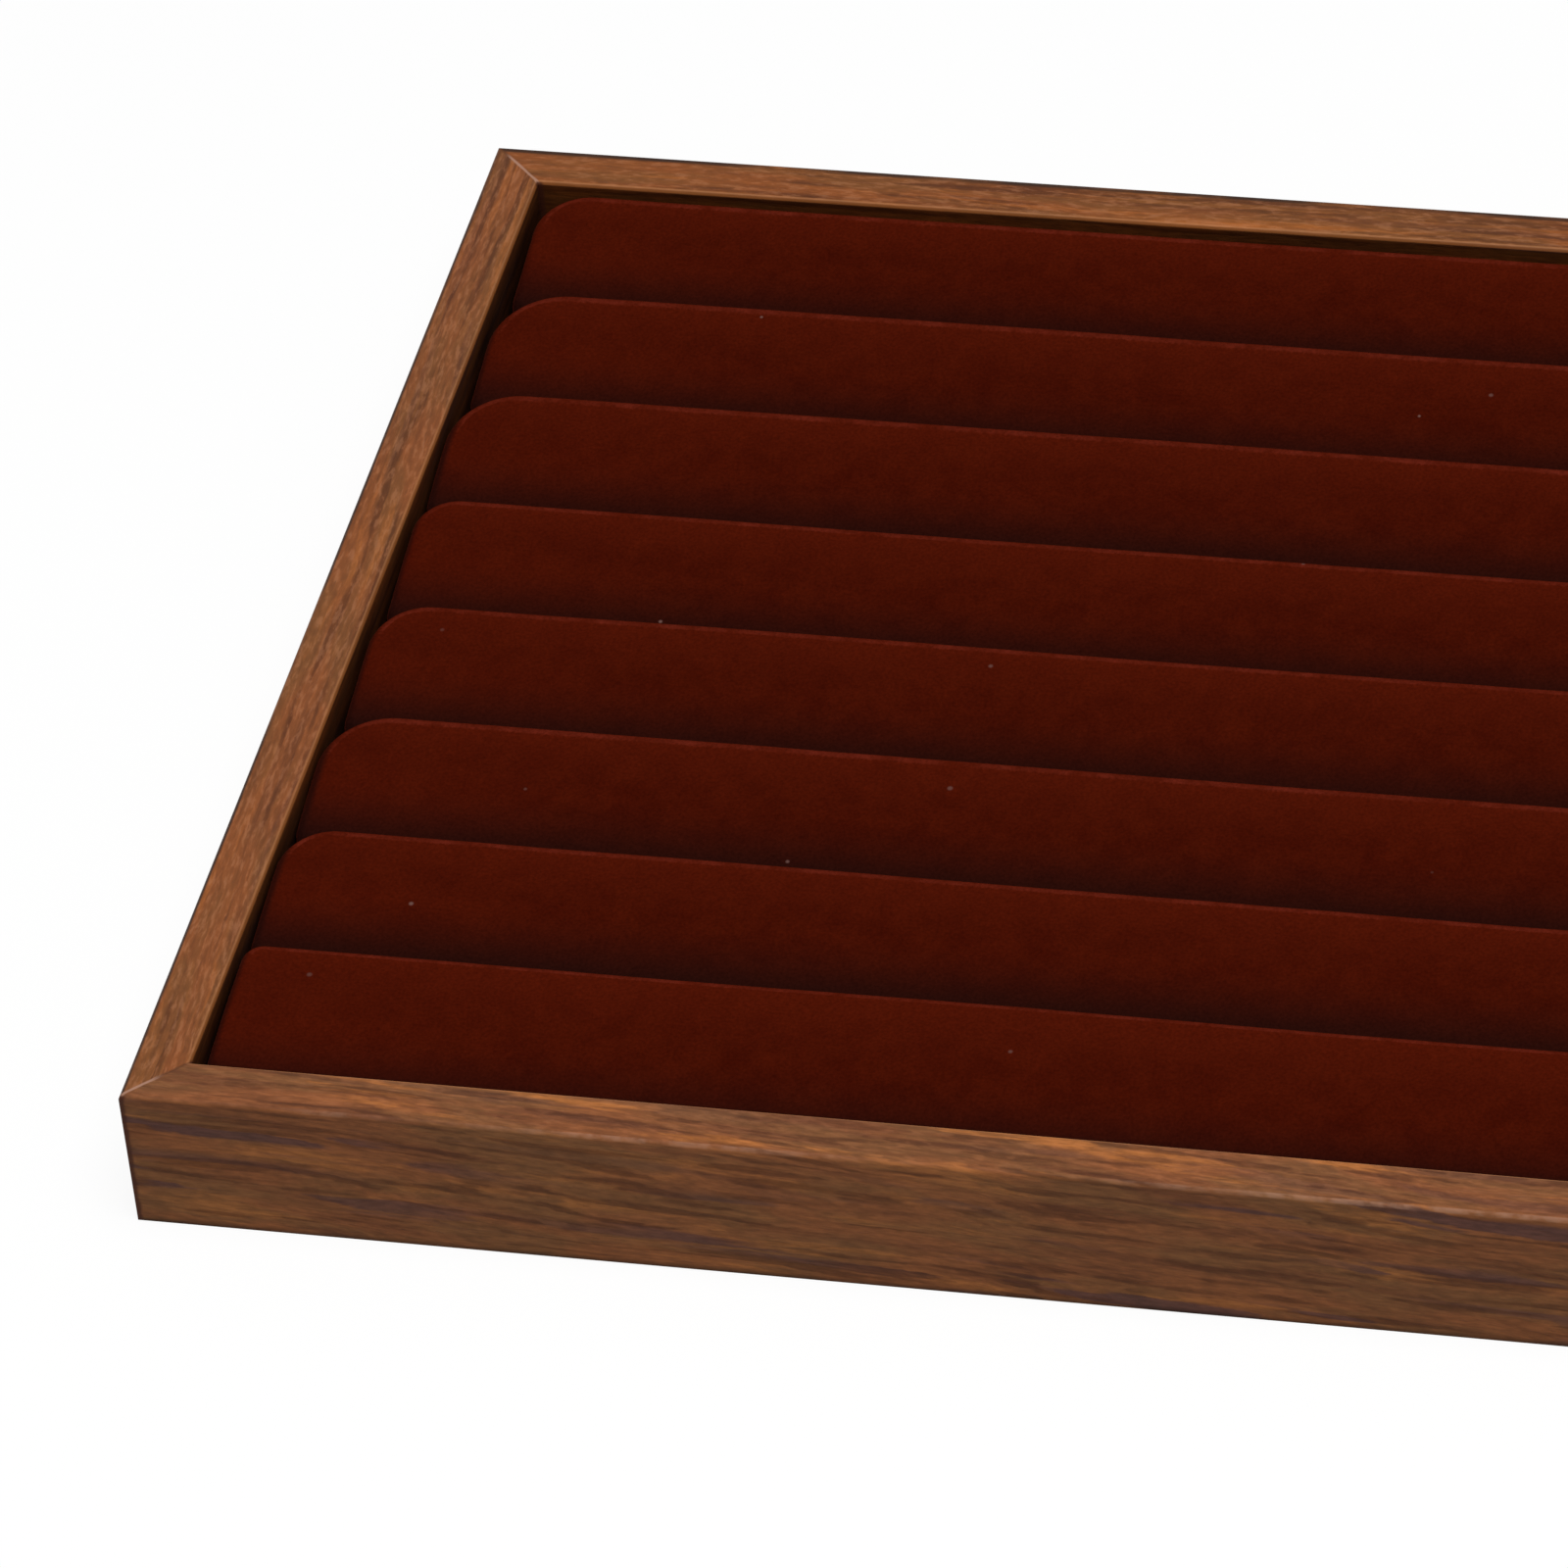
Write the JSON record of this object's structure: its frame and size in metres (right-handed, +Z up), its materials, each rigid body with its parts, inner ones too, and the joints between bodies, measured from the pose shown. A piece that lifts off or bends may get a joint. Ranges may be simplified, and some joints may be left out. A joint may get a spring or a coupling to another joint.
{
  "type": "ring display tray",
  "caption": "Low open wooden tray with a mitred walnut-look frame and rows of gently sloped velvet pads that hold finger rings in the slits between them; the padded insert lifts out.",
  "frame": {"origin": "middle of the tray's underside, in the plane that it stands on", "axes": "+X along the tray's length, +Y from the front rail to the back rail, +Z up"},
  "size_m": [0.35, 0.24, 0.025],
  "materials": {
    "walnut_rail": "satin",
    "bottom_board": "matte",
    "steel": "satin",
    "card": "matte",
    "foam": "matte",
    "velvet": "matte"
  },
  "bodies": {
    "tray_frame": {"front_rail": "walnut_rail", "back_rail": "walnut_rail", "left_rail": "walnut_rail", "right_rail": "walnut_rail", "bottom_board": "bottom_board", "corner_v_nails": "steel", "board_brads": "steel"},
    "ring_insert": {"insert_card": "card", "ring_pad_1_foam": "foam", "ring_pad_1_cover": "velvet", "ring_pad_2_foam": "foam", "ring_pad_2_cover": "velvet", "ring_pad_3_foam": "foam", "ring_pad_3_cover": "velvet", "ring_pad_4_foam": "foam", "ring_pad_4_cover": "velvet", "ring_pad_5_foam": "foam", "ring_pad_5_cover": "velvet", "ring_pad_6_foam": "foam", "ring_pad_6_cover": "velvet", "ring_pad_7_foam": "foam", "ring_pad_7_cover": "velvet", "ring_pad_8_foam": "foam", "ring_pad_8_cover": "velvet"}
  },
  "joints": [
    {"name": "insert_lift", "type": "slide", "parent": "tray_frame", "child": "ring_insert", "axis": [0, 0, 1], "range_m": [0, 0.04]}
  ]
}
